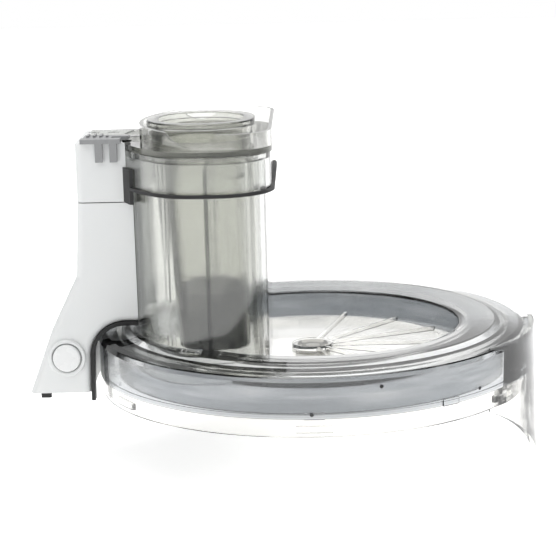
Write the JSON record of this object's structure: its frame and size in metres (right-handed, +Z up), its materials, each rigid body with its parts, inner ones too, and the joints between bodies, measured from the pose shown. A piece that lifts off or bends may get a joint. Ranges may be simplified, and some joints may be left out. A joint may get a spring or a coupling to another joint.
{
  "type": "food processor work-bowl cover",
  "caption": "Clear lid for a food processor bowl with a wide feed tube, nested pushers in a lift-off sleeve, a white interlock housing with a round release button, and a locking tab.",
  "frame": {"origin": "on the axis of the cover, at the height of the bowl rim (underside of the flange between spigot and skirt)", "axes": "+Z up out of the bowl, -X to the interlock housing on the handle side, +X to the locking tab, front with the release button to -Y"},
  "size_m": [0.2437, 0.2069, 0.1648],
  "materials": {
    "clear_plastic": "clear, polished, faint grey",
    "white_plastic": "satin white moulding",
    "grey_plastic": "satin mid grey",
    "dark_plastic": "satin dark grey",
    "black_rubber": "matt black",
    "steel": "bright zinc plated",
    "nylon": "natural nylon"
  },
  "bodies": {
    "root": {"cover": "clear_plastic", "hub_bush": "nylon", "feed_tube": "clear_plastic", "housing_front_shell": "white_plastic", "housing_back_shell": "white_plastic", "housing_screws": "steel", "housing_edge_seals": "black_rubber", "housing_feet": "black_rubber", "button_bezel": "white_plastic", "button_spring": "steel", "latch_pin": "steel", "rod_guide": "nylon", "rod_spring": "steel"},
    "sleeve": {"pusher_sleeve": "clear_plastic", "sleeve_arm": "white_plastic", "arm_cap": "white_plastic", "arm_screws": "steel", "sleeve_trim": "black_rubber"},
    "large_pusher": {"large_pusher": "clear_plastic", "pusher_foot_plate": "clear_plastic", "pusher_crown": "clear_plastic"},
    "small_pusher": {"small_pusher": "clear_plastic", "small_pusher_foot": "dark_plastic", "small_pusher_rim": "clear_plastic"},
    "release_button": {"release_button": "white_plastic"},
    "latch_pawl": {"latch_pawl": "nylon"},
    "interlock_rod": {"interlock_rod": "nylon"},
    "actuator_plunger": {"actuator_plunger": "nylon"},
    "pusher_lock_slider": {"pusher_lock_slider": "grey_plastic", "lock_bolt": "grey_plastic"}
  },
  "joints": [
    {"name": "sleeve_lift", "type": "slide", "parent": "root", "child": "sleeve", "axis": [0, 0, 1], "range_m": [0, 0.115]},
    {"name": "large_pusher_lift", "type": "slide", "parent": "sleeve", "child": "large_pusher", "axis": [0, 0, 1], "range_m": [0, 0.11]},
    {"name": "small_pusher_lift", "type": "slide", "parent": "large_pusher", "child": "small_pusher", "axis": [0, 0, 1], "range_m": [0, 0.12]},
    {"name": "button_press", "type": "slide", "parent": "root", "child": "release_button", "axis": [0, 1, 0], "range_m": [0, 0.003], "stiffness_N_per_m": 600, "springref_m": -0.003, "deforming": ["button_spring"]},
    {"name": "pawl_swing", "type": "hinge", "parent": "root", "child": "latch_pawl", "pos_m": [-0.1115, -0.0075, 0.008], "axis": [1, 0, 0], "range_deg": [0, 12]},
    {"name": "rod_press", "type": "slide", "parent": "root", "child": "interlock_rod", "axis": [0, 0, 1], "range_m": [-0.005, 0], "stiffness_N_per_m": 400, "springref_m": 0.005, "deforming": ["rod_spring"]},
    {"name": "plunger_press", "type": "slide", "parent": "sleeve", "child": "actuator_plunger", "axis": [0, 0, 1], "range_m": [-0.005, 0]},
    {"name": "lock_slide", "type": "slide", "parent": "sleeve", "child": "pusher_lock_slider", "axis": [1, 0, 0], "range_m": [0, 0.003]}
  ],
  "couplings": [
    {"joint": "pawl_swing", "follows": "button_press", "rad_per_m": 65.8},
    {"joint": "plunger_press", "follows": "rod_press", "ratio": 1}
  ]
}
